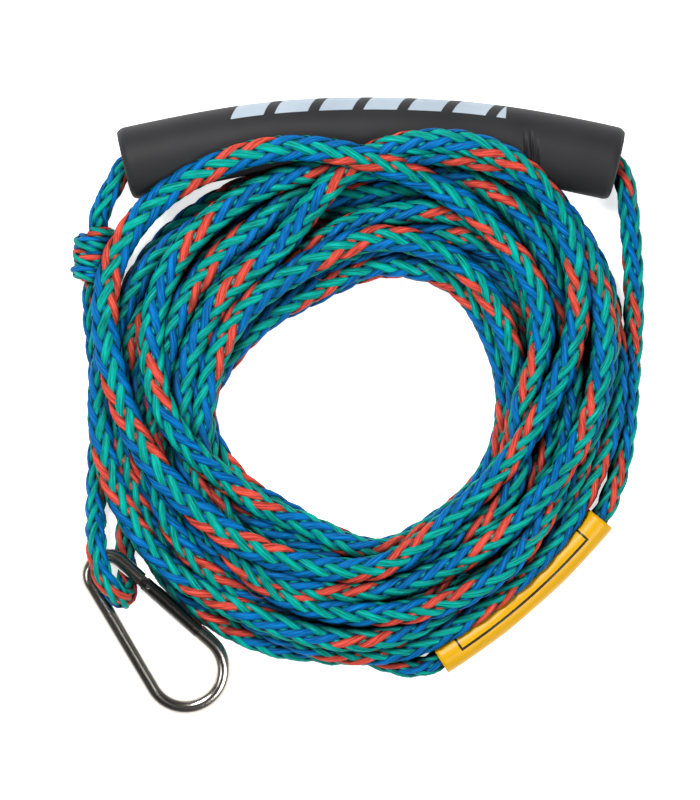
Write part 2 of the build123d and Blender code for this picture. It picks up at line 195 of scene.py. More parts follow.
def foam_material():
    """Closed-cell foam with a printed band of slanted bars over its outer edge."""
    material, tree, shader = new_material("foam_black", Roughness=0.6, Specular_IOR_Level=0.24)
    along, around = along_map(tree)
    where = object_place(tree)
    cells = noise(tree, where, 1700.0, 2.0, 0.6)
    clouds = noise(tree, where, 34.0, 3.0)
    rubber = colour_mix(tree, clouds, (0.011, 0.011, 0.012, 1), (0.024, 0.024, 0.026, 1))
    # The bars, in millimetres along the grip and radians round it
    bar_spacing, slant = 23.0, 7.0
    slanted = maths(tree, "ADD", along, maths(tree, "MULTIPLY", around, slant))
    bars = window(tree, maths(tree, "FRACT", maths(tree, "DIVIDE", slanted, bar_spacing)), 0.1, 0.86, 0.012)
    band = oblong(tree, (along, -73.0, 70.0, 0.3), (around, -0.6, 0.93, 0.015))
    printed = maths(tree, "MULTIPLY", bars, band)
    wear = maths(tree, "ADD", 0.86, maths(tree, "MULTIPLY", clouds, 0.2), True)
    worn = maths(tree, "MULTIPLY", printed, wear)
    ink = colour_mix(tree, clouds, (0.34, 0.41, 0.48, 1), (0.44, 0.51, 0.58, 1))
    tree.links.new(colour_mix(tree, worn, rubber, ink), shader.inputs["Base Color"])
    tree.links.new(bump(tree, cells, 0.25, 0.12 * MM), shader.inputs["Normal"])
    return material


def sleeve_material():
    """Glossy yellow sleeving with a thin printed frame."""
    material, tree, shader = new_material("sleeve_yellow", Roughness=0.36, Specular_IOR_Level=0.22)
    along, around = along_map(tree)
    where = object_place(tree)
    clouds = noise(tree, where, 45.0, 3.0)
    yellow = colour_mix(tree, clouds, (0.60, 0.31, 0.0, 1), (0.69, 0.37, 0.0, 1))
    # The printed frame, in millimetres along the sleeve and radians round it
    inside = oblong(tree, (along, 12.4, 101.8, 0.05), (around, 1.3, 3.4, 0.005))
    hollow = oblong(tree, (along, 13.6, 100.6, 0.05), (around, 1.47, 3.3, 0.005))
    outline = maths(tree, "SUBTRACT", inside, hollow, True)
    tree.links.new(colour_mix(tree, outline, yellow, (0.012, 0.009, 0.004, 1)), shader.inputs["Base Color"])
    dents = noise(tree, where, 120.0, 2.0)
    tree.links.new(bump(tree, dents, 0.12, 0.4 * MM), shader.inputs["Normal"])
    return material


def steel_material(name, base, roughness):
    """Polished stainless steel with faint draw lines and finger marks."""
    material, tree, shader = new_material(name, Metallic=1.0)
    where = object_place(tree)
    marks = noise(tree, where, 130.0, 4.0, 0.6)
    lengthwise = {"Vector": where, "Rotation": (0, 0, 0.89), "Scale": (4000.0, 250.0, 900.0)}
    scratches = noise(tree, node(tree, "ShaderNodeMapping", lengthwise).outputs[0], 1.0, 2.0)
    low, high = tuple(0.86 * c for c in base) + (1.0,), tuple(base) + (1.0,)
    tree.links.new(colour_mix(tree, marks, low, high), shader.inputs["Base Color"])
    rough = maths(tree, "ADD", roughness, maths(tree, "MULTIPLY", marks, 0.06))
    tree.links.new(rough, shader.inputs["Roughness"])
    tree.links.new(bump(tree, scratches, 0.02, 0.04 * MM), shader.inputs["Normal"])
    return material


def plastic_material(name, dark, light, roughness):
    """Moulded plastic with a faint grain."""
    material, tree, shader = new_material(name, Roughness=roughness)
    grain = noise(tree, object_place(tree), 600.0, 3.0)
    tree.links.new(colour_mix(tree, grain, dark, light), shader.inputs["Base Color"])
    tree.links.new(bump(tree, grain, 0.15, 0.1 * MM), shader.inputs["Normal"])
    return material


# ---------------------------------------------------------------- lines and meshes


def nurbs_line(route):
    """The points of a smooth NURBS spline whose control points are the route's, in metres."""
    curve = bpy.data.curves.new("route", "CURVE")
    curve.dimensions = "3D"
    spline = curve.splines.new("NURBS")
    spline.points.add(len(route) - 1)
    for point, place in zip(spline.points, route):
        point.co = (*place, 1.0)
    spline.order_u = 3
    spline.use_endpoint_u = True
    spline.resolution_u = 8
    holder = bpy.data.objects.new("route", curve)
    bpy.context.scene.collection.objects.link(holder)
    mesh = bpy.data.meshes.new_from_object(holder)
    places = np.zeros(len(mesh.vertices) * 3)
    mesh.vertices.foreach_get("co", places)
    bpy.data.objects.remove(holder)
    bpy.data.curves.remove(curve)
    bpy.data.meshes.remove(mesh)
    return places.reshape(-1, 3)


def stations(line, step, coarse=None):
    """Stations along a line, a step apart or, where coarse says so, a multiple of it."""
    fine, far = evenly(line, step)
    if coarse is None:
        return fine, far
    count = np.cumsum(1 / coarse(far))
    at = np.interp(np.arange(count[0], count[-1]), count, far)
    return np.stack([np.interp(at, far, fine[:, k]) for k in range(3)], axis=1), at


def evenly(line, step):
    """Stations along a line, as near to a step apart as its length allows, and their distances."""
    runs = np.linalg.norm(np.diff(line, axis=0), axis=1)
    far = np.concatenate([[0.0], np.cumsum(runs)])
    at = np.linspace(0.0, far[-1], int(round(far[-1] / step)) + 1)
    return np.stack([np.interp(at, far, line[:, k]) for k in range(3)], axis=1), at


def unit(vectors):
    """The same directions at a length of 1."""
    return vectors / np.linalg.norm(vectors, axis=-1, keepdims=True)


def carried_side(line, ahead):
    """A direction across the line at each station, carried along it without twist."""
    across = np.zeros_like(line)
    across[0] = unit(np.cross(ahead[0], (0.3, 0.2, 1.0)))
    for k in range(1, len(line)):
        kept = across[k - 1] - ahead[k] * (across[k - 1] @ ahead[k])
        across[k] = kept / np.linalg.norm(kept)
    return across


def mesh_piece(name, places, faces, materials, slots=None, uv=None):
    """A smooth-shaded mesh object from arrays: uv is per face corner."""
    mesh = bpy.data.meshes.new(name)
    mesh.vertices.add(len(places))
    mesh.vertices.foreach_set("co", np.asarray(places, np.float32).ravel())
    faces = np.asarray(faces, np.int32)
    mesh.loops.add(faces.size)
    mesh.loops.foreach_set("vertex_index", faces.ravel())
    mesh.polygons.add(len(faces))
    mesh.polygons.foreach_set("loop_start", np.arange(len(faces), dtype=np.int32) * faces.shape[1])
    for material in materials:
        mesh.materials.append(material)
    if slots is not None:
        mesh.polygons.foreach_set("material_index", np.asarray(slots, np.int32))
    mesh.update(calc_edges=True)
    if uv is not None:
        layer = mesh.uv_layers.new(name="along")
        layer.data.foreach_set("uv", np.asarray(uv, np.float32).ravel())
    mesh.validate()
    mesh.shade_smooth()
    piece = bpy.data.objects.new(name, mesh)
    bpy.context.scene.collection.objects.link(piece)
    return piece


def grid_faces(rows, columns):
    """The quads of a grid of vertices, numbered row by row."""
    row, column = np.meshgrid(np.arange(rows - 1), np.arange(columns - 1), indexing="ij")
    here, next_row = row * columns, (row + 1) * columns
    corners = (here + column, here + column + 1, next_row + column + 1, next_row + column)
    return np.stack(corners, axis=-1).reshape(-1, 4)


def braid(name, line, materials, size=1.0, flat=None, coarse=None, seed=1):
    """A hollow braid along a line: as many strands each way round, over two and under two.

    flat gives how flat the rope is, and coarse how coarse its mesh may be, from distances along it.
    """
    places, far = stations(line, size * PITCH / CROSSINGS / 2, coarse)
    ahead = unit(np.gradient(places, axis=0))
    carried = carried_side(places, ahead)
    side = unit(np.cross((0.0, 0.0, 1.0), ahead))
    up = np.cross(ahead, side)
    twist = np.unwrap(np.arctan2((carried * up).sum(axis=1), (carried * side).sum(axis=1)))
    flatness = np.zeros(len(far)) if flat is None else flat(far)
    # It is never quite even along the rope
    flatness = flatness * (1 + 0.16 * np.sin(far / 0.047) * np.sin(far / 0.21))
    wide, tall = SLACK_SIZE + WIDENING * flatness, SLACK_SIZE - FLATTENING * flatness

    def section(angle, depth):
        """Offsets from the rope's line to its skin, and the skin's normals, at an angle round the rope."""
        cos, sin = np.cos(angle)[:, None] * side, np.sin(angle)[:, None] * up
        radius = size * BRAID_RADIUS
        out = unit(cos * tall[:, None] + sin * wide[:, None])
        return cos * (radius * wide)[:, None] + sin * (radius * tall)[:, None] - out * depth, out

    # The rope turns slowly about its own line
    phases = np.random.default_rng(seed).uniform(0, 2 * math.pi, 2)
    turn = twist + 0.9 * np.sin(far / 0.31 + phases[0]) + 1.6 * np.sin(far / 0.83 + phases[1])
    crossing = far / (size * PITCH) * CROSSINGS
    count = len(places)
    points, faces, slots, uv = [], [], [], []
    for strand in range(2 * STRANDS):
        way, number = (1, strand) if strand < STRANDS else (-1, strand - STRANDS)
        angle = turn + 2 * math.pi * (number / STRANDS + way * far / (size * PITCH))
        # Where in its wave a strand is: where two cross, one is up and the other down
        beat = crossing + 2 * number - 0.5 if way > 0 else 2 * number - crossing - 2.5
        wave = np.tanh(SQUARENESS * np.cos(math.pi / 2 * beat)) / math.tanh(SQUARENESS)
        half_width = size * STRAND_HALF_WIDTH * (0.94 + 0.1 * wave) * wide
        skin, out = section(angle, 0.0)
        middle = places + skin + out * (size * UNDULATION * wave)[:, None]
        ahead = unit(np.gradient(middle, axis=0))
        across = unit(np.cross(ahead, out))
        out = np.cross(across, ahead)
        for share in PROFILE:
            drop = (share * STRAND_HALF_WIDTH) ** 2 / (2 * BRAID_RADIUS)
            rise = STRAND_HALF_THICKNESS * math.sqrt(1.0001 - share**2) - drop
            points.append(middle + across * (share * half_width)[:, None] + out * (size * rise))
        # Vertices of one strand are numbered profile point by profile point
        first = strand * len(PROFILE) * count
        grid = grid_faces(len(PROFILE), count)
        faces.append(grid + first)
        slots.append(np.full(len(grid), 0 if way > 0 else 1 if number < ORANGE_STRANDS else 2))
        spread = (np.array(PROFILE) + 1) / 2
        corner_far = far[grid % count] / MM / MAP_STEP + MAP_SHIFT * strand
        uv.append(np.stack([spread[grid // count], corner_far], axis=-1))
    # A dark sheet inside, painted shade for the rope's hollow inside, seen between the strands
    first = 2 * STRANDS * len(PROFILE) * count
    for k in range(SHADE_SHEET_SIDES):
        points.append(places + section(turn + 2 * math.pi * k / SHADE_SHEET_SIDES, size * SHADE_SHEET_DEPTH)[0])
    grid = grid_faces(SHADE_SHEET_SIDES + 1, count) % (SHADE_SHEET_SIDES * count)
    faces.append(grid + first)
    slots.append(np.full(len(grid), len(materials) - 1))
    uv.append(np.zeros((len(grid), 4, 2)))
    points, faces, slots, uv = (np.concatenate(arrays) for arrays in (points, faces, slots, uv))
    return mesh_piece(name, points, faces, materials, slots, uv)


# ---------------------------------------------------------------- the camera

CAMERA_HEIGHT = 2.6
VIEW_CENTRE, VIEW_HEIGHT = (-0.0111, -0.1349), 0.424
LEVEL = 0.02  # at which the view is as tall as that
camera_data = bpy.data.cameras.new("camera")
camera_data.lens = camera_data.sensor_width * (CAMERA_HEIGHT - LEVEL) / VIEW_HEIGHT
camera = bpy.data.objects.new("camera", camera_data)
camera.location = (*VIEW_CENTRE, CAMERA_HEIGHT)
bpy.context.scene.collection.objects.link(camera)
bpy.context.scene.camera = camera

# ---------------------------------------------------------------- the rope's route


def bow_place(angle, out, rise):
    """A place by the grip's bow: an angle from its middle, +X to the left, and metres out from its axis."""
    reach = BOW_RADIUS + out
    return BOW_CENTRE + np.array([-math.sin(angle) * reach, math.cos(angle) * reach, rise])


def mouth_place(side, out, inwards):
    """Millimetres out of an end of the grip and towards the bow's inside; side 1 is the left end."""
    turn = side * HALF_BOW
    out_of_grip = np.array([-math.cos(turn) * side, -math.sin(turn) * side, 0.0])
    return bow_place(turn, -inwards * MM, 0.0) + out_of_grip * out * MM


def millimetres(*places):
    """Places given in millimetres, in metres."""
    return [np.array(place) * MM for place in places]


ROPE_END = HALF_BOW - 0.017 / BOW_RADIUS
right_leg_route = [
    bow_place(-ROPE_END, 0, 0), mouth_place(-1, -8.0, 0.1),
    mouth_place(-1, 1.5, 3.6), mouth_place(-1, 6.2, 11.0),
    *millimetres(
        (136.6, -31.5, 17.4), (138.0, -46.0, 14.0), (139.4, -62.0, 9.0), (140.2, -80.0, 6.4),
        (139.8, -99.0, 6.0), (138.4, -118.0, 6.2), (137.2, -138.0, 6.0), (135.6, -156.0, 6.2),
        (132.2, -173.0, 6.4), (127.6, -187.0, 6.8),
    ),
]  # fmt: skip
in_sleeve_route = millimetres(
    (122.2, -198.0, 7.0), (105.2, -217.5, 7.0), (82.5, -239.5, 7.0), (58.6, -258.7, 7.0),
)  # fmt: skip
lead_in_route = millimetres(
    (36.9, -273.1, 7.0), (27.0, -277.8, 6.8), (12.0, -276.4, 6.6), (-2.0, -270.0, 6.6),
)  # fmt: skip
left_side_route = millimetres(
    (-147.6, -74.4, 12.8), (-148.1, -82.0, 11.6), (-147.9, -92.0, 8.6), (-146.2, -108.0, 6.3),
    (-144.4, -128.5, 6.0), (-144.6, -148.0, 6.1), (-145.6, -168.0, 6.0), (-146.4, -187.0, 7.0),
    (-146.2, -199.0, 13.4), (-145.6, -209.0, 25.0), (-144.4, -219.5, 29.4), (-141.4, -229.0, 29.4),
    (-135.8, -236.6, 27.0), (-131.6, -241.2, 18.6), (-129.8, -238.4, 9.6), (-129.6, -230.4, 5.9),
    (-130.6, -220.0, 5.9), (-131.6, -207.0, 6.1), (-127.0, -194.0, 6.4), (-118.0, -183.0, 6.2),
)  # fmt: skip
left_leg_route = [
    bow_place(ROPE_END, 0, 0), mouth_place(1, -8.0, 0.1), mouth_place(1, 1.5, 3.6), mouth_place(1, 6.4, 10.6),
    *millimetres((-141.2, -29.0, 16.4), (-144.1, -36.4, 14.2), (-144.9, -42.7, 12.8)),
]  # fmt: skip

# The coil. A turn is its distances from the middle, in millimetres, every 30 degrees counterclockwise from
# +X, and its levels there: about how many turns lie under it. The bed is where the turns that are hidden lie.
COIL_MIDDLE = np.array([4.8, -138.1]) * MM
TURN_STEP = 5.0  # degrees between the rope's points in the coil
LEVEL_RISE = 10.0 * MM
FLOOR_HEIGHT = 5.6 * MM  # of a flat rope's line
SEEN_DISTANCES = [
    (82, 95, 111, 100, 90, 94, 100, 106, 101, 87, 80, 75),
    (73, 77, 86, 89, 84, 89, 94, 104, 99, 90, 85, 82),
    (75, 99, 112, 128, 152, 161, 136, 111, 95, 85, 71, 72),
    (87, 121, 146, 134, 101, 102, 105, 107, 112, 110, 109, 104),
    (101, 110, 128, 130, 132, 132, 115, 87, 72, 74, 69, 66),
    (66, 68, 75, 76, 72, 79, 89, 101, 105, 97, 92, 97),
    (113, 132, 145, 134, 116, 117, 118, 127, 123, 120, 111, 108),
    (115, 135, 142, 129, 126, 143, 149, 144, 129, 123, 106, 102),
    (115,),
]
SEEN_LEVELS = [
    (3, 3.3, 3.6, 4.2, 3.8, 3, 2.8, 2.8, 2.8, 3, 3, 3),
    (3.2, 3.6, 3.6, 3.4, 3, 3.2, 3, 2.6, 2.8, 3, 3.2, 3.4),
    (4, 5.2, 6, 6.6, 6.6, 6.6, 6.6, 6.4, 6.2, 6, 5.4, 5.2),
    (5.4, 6, 6, 5, 4.4, 4.2, 3.8, 3.8, 4.6, 5, 5, 4.2),
    (4, 4.4, 4.6, 4, 5, 5, 5.2, 5.2, 5, 4.6, 3.6, 3.2),
    (3, 3, 3, 3, 3, 3.2, 3, 3, 4, 4.4, 5, 5.2),
    (5.2, 5.0, 5.2, 4.0, 4.4, 4.2, 3.4, 4, 4, 3.4, 3.2, 3.4),
    (3.6, 3.8, 3.4, 3, 3.6, 4, 4.6, 5, 5, 4.2, 3.0, 2.4),
    (2.8,),
]
SEEN_TURNS = len(SEEN_DISTANCES) - 1  # the last entry only ends the last turn
BED_INSIDE = (69, 71, 78, 76, 71, 81, 95, 88, 75, 78, 70, 69)
BED_OUTSIDE = (121, 135, 127, 113, 124, 138, 142, 138, 131, 130, 112, 110)
HOOK_ANGLE, SLEEVE_ANGLE = 195.0, 262.0  # where the coil begins and ends
BACK_ANGLE, BACK_INSIDE, BACK_WIDTH = 160.0, 80.0, 59.0  # where the rope doubles back, and the bed there
BACK_BEND = 23.0  # radius, in millimetres
TURNS_BEFORE_BACK = 6
HIDDEN_TAIL = 60  # of the coil's last points, which go down to the sleeve under the others


def through(values, angles):
    """A smooth curve through values 30 degrees apart, at angles counted from the first of them."""
    values = np.asarray(values, float)
    place = np.asarray(angles) / 30.0
    index = np.clip(np.floor(place).astype(int), 0, len(values) - 2)
    t = place - index
    before, here, after, later = (values[np.clip(index + k, 0, len(values) - 1)] for k in (-1, 0, 1, 2))
    bend = 2 * before - 5 * here + 4 * after - later + t * (3 * (here - after) + later - before)
    return here + 0.5 * t * (after - before + t * bend)


def bed_turns(angles, shares, levels):
    """Buried turns: their share of the way across the bed, and their level, change along the angles."""
    way = np.linspace(0, 1, len(angles))
    edges = [through(list(edge) * 3, angles % 360 + 360) for edge in (BED_INSIDE, BED_OUTSIDE)]
    share = np.interp(way, np.linspace(0, 1, len(shares)), shares)
    return edges[0] + (edges[1] - edges[0]) * share, np.interp(way, np.linspace(0, 1, len(levels)), levels)


def coil_turns():
    """Angle, distance, level and whether it is seen, for each point from the hook's side to the sleeve's."""
    parts = []
    # Clockwise from the hook, to where the rope doubles back
    back, back_level = BACK_ANGLE - 360.0 * TURNS_BEFORE_BACK, 1.2
    angles = np.arange(HOOK_ANGLE, back, -TURN_STEP)
    shares = [0.8, 0.7, 0.48, 0.24, 0.05, 0.35, 0.7, 0.97]
    distance, level = bed_turns(angles, shares, [0, 0, 0, 0, 0.6, 1.2, 1.2, back_level])
    parts.append((angles, distance, level, 0))
    middle = distance[-1] - BACK_BEND
    round_it = np.radians(np.arange(30, 180, 30))
    angles = back - np.degrees(BACK_BEND * np.sin(round_it) / middle)
    parts.append((angles, middle + BACK_BEND * np.cos(round_it), np.full(len(angles), back_level), 0))
    # Counterclockwise under the turns that are seen, which start at +X
    angles = np.arange(back, 0, TURN_STEP)
    first_share = (middle - BACK_BEND - BACK_INSIDE) / BACK_WIDTH
    shares = [first_share, 0.3, 0.55, 0.9, 0.95, 0.6, 0.35, 0.6, 0.25, 0.1]
    distance, level = bed_turns(angles, shares, [back_level, 2.1, 2.1, 2.1, 2.2, 2.2, 2.3, 2.3, 2.4, 2.8])
    parts.append((angles, distance, level, 0))
    # The turns that are seen
    angles = np.arange(0, 360.0 * SEEN_TURNS, TURN_STEP)
    distance, level = (through(sum(table, ()), angles) for table in (SEEN_DISTANCES, SEEN_LEVELS))
    parts.append((angles, distance, level, 1))
    # Down the outside to the sleeve
    low = 360.0 * SEEN_TURNS
    angles = np.arange(low, low + 360.0 + SLEEVE_ANGLE, TURN_STEP)
    distance, level = bed_turns(angles, [0.85, 0.6, 0.75, 1.0, 1.07], [2.6, 1.8, 1.0, 0.3, 0])
    parts.append((angles, distance, level, 0))
    angles, distance, level = (np.concatenate([part[k] for part in parts]) for k in range(3))
    return angles, distance, level, np.concatenate([np.full(len(part[0]), part[3]) for part in parts])


def keep_off_arc(points, centre, radius, angles, height, reach):
    """Moves points that are within reach of a level arc straight away from it."""
    offset = points[:, :2] - centre
    angle = np.clip(np.arctan2(offset[:, 1], offset[:, 0]), *angles)
    level = np.full(len(points), height)
    nearest = [centre[0] + radius * np.cos(angle), centre[1] + radius * np.sin(angle), level]
    nearest = np.stack(nearest, axis=1)
    away = points - nearest
    gap = np.linalg.norm(away, axis=1)
    near = gap < reach
    points[near] = nearest[near] + away[near] / gap[near, None] * reach


def sleeve_centre():
    """The middle of the arc that the sleeve bows along."""
    chord = SLEEVE_FOOT - SLEEVE_TOP
    length = np.linalg.norm(chord)
    inside = np.array([chord[1], -chord[0]]) / length
    return (SLEEVE_TOP + SLEEVE_FOOT) / 2 + inside * math.sqrt(SLEEVE_BOW_RADIUS**2 - (length / 2) ** 2)


def bearing(centre, place):
    """The direction of a place from a centre, as an angle."""
    return math.atan2(place[1] - centre[1], place[0] - centre[0])


SLEEVE_CENTRE = sleeve_centre()
SLEEVE_ANGLES = sorted((bearing(SLEEVE_CENTRE, SLEEVE_TOP), bearing(SLEEVE_CENTRE, SLEEVE_FOOT)))


def settle(points, seen, fixed):
    """Lets the turns fall onto each other, the grip, the sleeve, fixed ropes and the floor."""
    gap, steps = 0.9 * DIAMETER, 360
    # Pairs this close are looked at, unless they are neighbours along the rope, and again every few steps
    within_reach, next_along, look_again = 17 * MM, 5, 8
    fast_fall, slow_fall, slow_from = 0.5 * MM, 0.2 * MM, 0.7 * steps
    eagerness = 1.2  # of the move out of an overlap
    off_grip, off_sleeve = GRIP_RADIUS + 4.9 * MM, 13.2 * MM
    # A pressed rope is wider than it is tall, so contact is tested in a space that makes it round
    press = np.array([1.1, 1.1, 0.86])
    angle = np.degrees(np.arctan2(points[:, 1] - COIL_MIDDLE[1], points[:, 0] - COIL_MIDDLE[0])) % 360
    nearest_middle = (through(list(BED_INSIDE) * 3, angle + 360) - 1.0) * MM
    wanted = points[:, :2].copy()
    # In plan, a turn that is seen keeps its place more and gives way less
    hold = np.where(seen > 0, 0.25, 0.03)[:, None]
    give = np.stack([np.where(seen > 0, 0.2, 1.0)] * 2 + [np.ones(len(points))], axis=1)
    ends = points[[0, 1, -2, -1]].copy()
    every = np.arange(len(points))
    bow = (math.pi / 2 - HALF_BOW, math.pi / 2 + HALF_BOW)
    for step in range(steps):
        if step % look_again == 0:
            pressed = points / press
            apart = ((pressed[:, None] - pressed[None]) ** 2).sum(axis=2)
            first, second = np.where(np.triu(apart < within_reach**2, next_along))
        points[:, 2] -= fast_fall if step < slow_from else slow_fall
        between = (points[first] - points[second]) / press
        distance = np.linalg.norm(between, axis=1) + 1e-9
        overlap = np.maximum(gap - distance, 0)
        push = between * press * (0.5 * overlap / distance)[:, None]
        move, touching = np.zeros_like(points), np.ones(len(points))
        np.add.at(move, first, push * give[first])
        np.add.at(move, second, -push * give[second])
        np.add.at(touching, first, overlap > 0)
        np.add.at(touching, second, overlap > 0)
        points += move * eagerness / np.sqrt(touching)[:, None]
        away = (points[:, None] - fixed[None]) / press
        distance = np.linalg.norm(away, axis=2)
        nearest = distance.argmin(axis=1)
        distance = distance[every, nearest]
        near = distance < gap
        points[near] += away[every[near], nearest[near]] * press * (gap / distance[near] - 1)[:, None]
        points[:, :2] += (wanted - points[:, :2]) * hold
        # The rope is too stiff for small bends
        drift = points.copy()
        drift[:, :2] -= wanted
        for _ in range(2):
            drift[1:-1] += 0.5 * (0.5 * (drift[:-2] + drift[2:]) - drift[1:-1])
        drift[:, :2] += wanted
        points = drift
        keep_off_arc(points, BOW_CENTRE[:2], BOW_RADIUS, bow, GRIP_RADIUS, off_grip)
        keep_off_arc(points, SLEEVE_CENTRE, SLEEVE_BOW_RADIUS, SLEEVE_ANGLES, SLEEVE_HALF_HEIGHT, off_sleeve)
        offset = points[:, :2] - COIL_MIDDLE
        reach = np.linalg.norm(offset, axis=1)
        points[:, :2] += offset * np.maximum(nearest_middle / reach - 1, 0)[:, None]
        points[:, 2] = np.maximum(points[:, 2], FLOOR_HEIGHT)
        points[[0, 1, -2, -1]] = ends
    return points


def coil_route():
    """The coil's points from the hook's side to the sleeve's, and which of them are seen."""
    angles, distance, level, seen = coil_turns()
    turn = np.radians(angles)
    points = np.stack(
        [
            COIL_MIDDLE[0] + distance * MM * np.cos(turn),
            COIL_MIDDLE[1] + distance * MM * np.sin(turn),
            FLOOR_HEIGHT + level * LEVEL_RISE,
        ],
        axis=1,
    )
    # The ropes beside the coil, without the stretches that run on into it
    beside = [nurbs_line(route) for route in (left_side_route, right_leg_route, lead_in_route)]
    fixed = np.concatenate([beside[0][:-8], beside[1], beside[2][:-12]])
    return settle(points, seen, fixed), seen > 0


def run(route):
    """The length of a route's chords."""
    return float(np.linalg.norm(np.diff(np.array(route), axis=0), axis=1).sum())


rope_materials = [
    strand_material("rope_teal", (0.0, 0.345, 0.285)),
    strand_material("rope_orange", (0.66, 0.075, 0.05)),
    strand_material("rope_blue", (0.0, 0.145, 0.43)),
    # A dark sheet stands as painted shade for the rope's hollow inside
    plastic_material("rope_inside_shade", (0.0, 0.006, 0.008, 1), (0.0, 0.014, 0.016, 1), 0.9),
]
coil_points, coil_seen = coil_route()
first_seen = int(coil_seen.argmax())
to_coil, from_coil = [*right_leg_route, *in_sleeve_route, *lead_in_route], [*left_side_route, *left_leg_route]
rope_route = [*to_coil, *coil_points[::-1], *left_side_route[::-1][1:], *left_leg_route[::-1]]
rope_line = nurbs_line(rope_route)
rope_places, rope_far = evenly(rope_line, 4 * MM)
coil_start, coil_end = run(to_coil), rope_far[-1] - run(from_coil)
buried_length = run(coil_points[:first_seen])


def coil_flatness(far):
    """Flat in the coil, least so on its sleeve side, and most where the top turn bends over the grip."""
    ends = np.clip((far - coil_start) / ROUND_STRETCH, 0, 1) * np.clip((coil_end - far) / ROUND_STRETCH, 0, 1)
    across, along = (np.interp(far, rope_far, rope_places[:, k]) - COIL_MIDDLE[k] for k in (0, 1))
    pressed = 0.8 + 0.2 * np.cos(np.arctan2(along, across) - FLATTEST)
    return ends * (pressed + PINCH * pinch(far))


def pinch(far):
    """How near a place is, from 1 to 0, to where the top turn bends over the grip."""
    index = first_seen + int((360 * PINCHED_TURN + PINCHED_ANGLE) / TURN_STEP)
    centre = coil_end - run(coil_points[:index])
    return np.exp(-(((far - centre) / PINCH_REACH) ** 2))


def coil_coarseness(far):
    """The turns under the ones that are seen have a coarser mesh."""
    return np.where((far > coil_end - buried_length) & (far < coil_end), BURIED_COARSENESS, 1.0)


rope = braid("rope", rope_line, rope_materials, flat=coil_flatness, coarse=coil_coarseness)


def knot_wraps():
    """Three wraps of the rope, side by side round its left leg, whose two ends dive into it."""
    top, bottom = left_leg_route[-1], left_side_route[0]
    axis = bottom - top
    length = np.linalg.norm(axis)
    ahead = axis / length
    side = unit(np.cross(ahead, (0.0, 0.0, 1.0)))
    up = np.cross(side, ahead)
    turns, per_turn, radius, start, half_rope = 3, 16, 7.9 * MM, 2.6, 5.3 * MM
    dive, dive_points = 4.5 * MM, 4
    last = turns * per_turn
    route = []
    for k in range(-dive_points, last + dive_points + 1):
        angle = 2 * math.pi * k / per_turn + start
        past_end = max(0, -k, k - last) / dive_points
        along = min(max(k / last, 0.0), 1.0) * (length - 2 * half_rope) + half_rope
        reach = radius - dive * past_end
        route.append(top + ahead * along + reach * (math.cos(angle) * side + math.sin(angle) * up))
    return braid("knot", nurbs_line(route), rope_materials, size=0.93, seed=5)


knot = knot_wraps()


def loose_fibres(count, seed):
    """Broken filaments that curl out of the turns that are seen."""
    along_points, sides, radius = 12, 3, 0.19 * MM
    random = np.random.default_rng(seed)
    far_end = coil_end - run(coil_points[: len(coil_points) - HIDDEN_TAIL])
    shown = rope_places[(rope_far > far_end) & (rope_far < coil_end - buried_length)]
    points, faces, slots = [], [], []
    for _ in range(count):
        at = int(random.integers(10, len(shown) - 10))
        ahead = unit(shown[at + 1] - shown[at - 1])
        side = unit(np.cross((0.0, 0.0, 1.0), ahead)) * random.choice([-1, 1])
        start = shown[at] + (0, 0, 0.35 * DIAMETER) + side * 0.35 * DIAMETER
        reach, curl = random.uniform(6, 14) * MM, random.uniform(-1.5, 1.5)
        share = np.linspace(0, 1, along_points)[:, None]
        line = start + side * reach * np.sin(2.2 * share) * 0.8 + ahead * reach * curl * share**1.5
        line = line + np.array([0, 0, 1.0]) * reach * 0.35 * np.sin(math.pi * share)
        first = sides * along_points * len(faces)
        for k in range(sides):
            turn = 2 * math.pi * k / sides
            points.append(line + radius * (math.cos(turn) * side + np.array([0, 0, math.sin(turn)])))
        grid = grid_faces(sides + 1, along_points) % (sides * along_points)
        faces.append(grid + first)
        slots.append(np.full(len(grid), random.integers(0, 3)))
    points, faces, slots = (np.concatenate(arrays) for arrays in (points, faces, slots))
    return mesh_piece("loose_fibres", points, faces, rope_materials, slots)


fibres = loose_fibres(40, 4)

# ---------------------------------------------------------------- the grip, sleeve and hook


def ringed(name, rings, around, place, material, uv):
    """A closed-round skin through rings; place gives a ring's vertex, and uv its map, from ring and angle."""
    angles = np.linspace(0, 2 * math.pi, around + 1)
    points = np.array([[place(ring, angle) for angle in angles] for ring in rings])
    marks = np.array([[uv(ring, angle) for angle in angles] for ring in rings])
    faces = grid_faces(len(rings), around + 1)
    return mesh_piece(name, points.reshape(-1, 3), faces, [material], uv=marks.reshape(-1, 2)[faces])


def grip_rings():
    """Along the grip and its radius there, from inside its left mouth to inside its right one."""
    half = GRIP_LENGTH / 2
    # The mouth and its small edge, then the face and the rounding to the side
    end = [(-half + MOUTH_DEPTH, MOUTH_RADIUS), (-half + 1.2 * MM, MOUTH_RADIUS)]
    end += [(-half + 0.3 * MM, MOUTH_RADIUS + 0.25 * MM), (-half, MOUTH_RADIUS + 1.1 * MM)]
    for degrees in range(90, -1, -10):
        along, down = (1 - side(math.radians(degrees)) for side in (math.sin, math.cos))
        end.append((-half + ROUNDING_ALONG * along, GRIP_RADIUS - ROUNDING * down))
    body = np.linspace(-half + ROUNDING_ALONG + 1 * MM, half - ROUNDING_ALONG - 1 * MM, 150)
    creased = np.linspace(CREASES[0][0] * MM - 3 * MM, CREASES[-1][0] * MM + 3 * MM, 50)
    body = [(x, GRIP_RADIUS) for x in np.sort(np.concatenate([body, creased]))]
    return end + body + [(-x, r) for x, r in reversed(end)]


